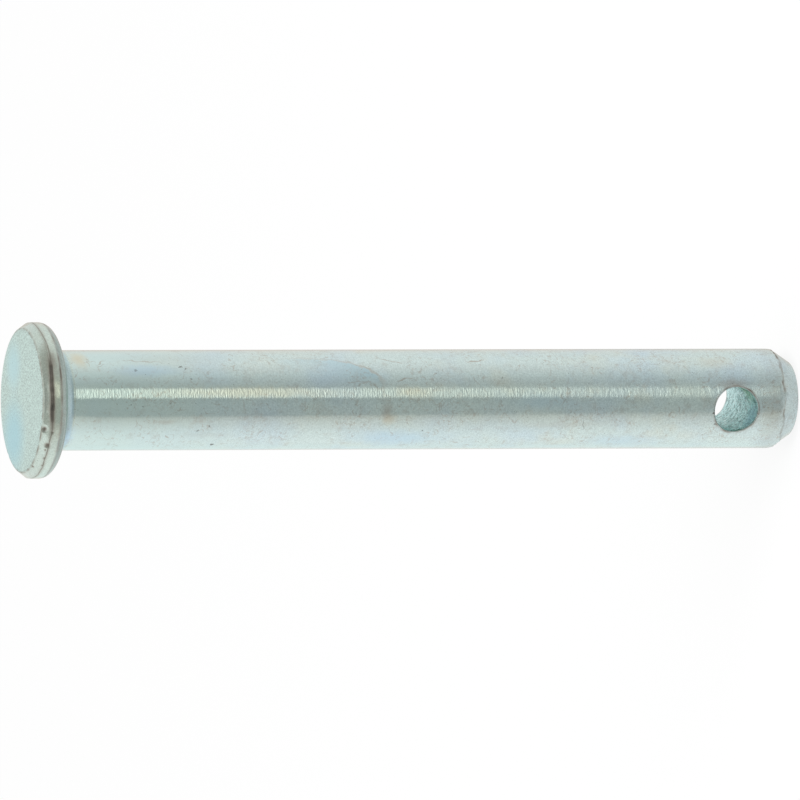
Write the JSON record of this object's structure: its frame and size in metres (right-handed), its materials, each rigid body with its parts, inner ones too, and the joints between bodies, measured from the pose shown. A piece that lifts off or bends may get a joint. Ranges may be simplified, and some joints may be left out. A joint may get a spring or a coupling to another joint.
{
  "type": "clevis pin",
  "caption": "Headed clevis pin: a round shank with a flat bevelled head at one end, and at the other a coned nose with a cross hole for a retaining clip.",
  "frame": {"origin": "centre of the flat end of the nose, where the pin stands", "axes": "+Z along the pin's axis from the nose to the head; the cross hole runs along Y, drilled 0.6 mm to the -X side of the axis"},
  "size_m": [0.025, 0.025, 0.1289],
  "materials": {
    "zinc_plated_steel": "turned and forged steel, bright zinc plated and blue passivated, satin, with fine turning marks on the shank"
  },
  "bodies": {
    "root": {"clevis_pin": "zinc_plated_steel"}
  },
  "joints": []
}
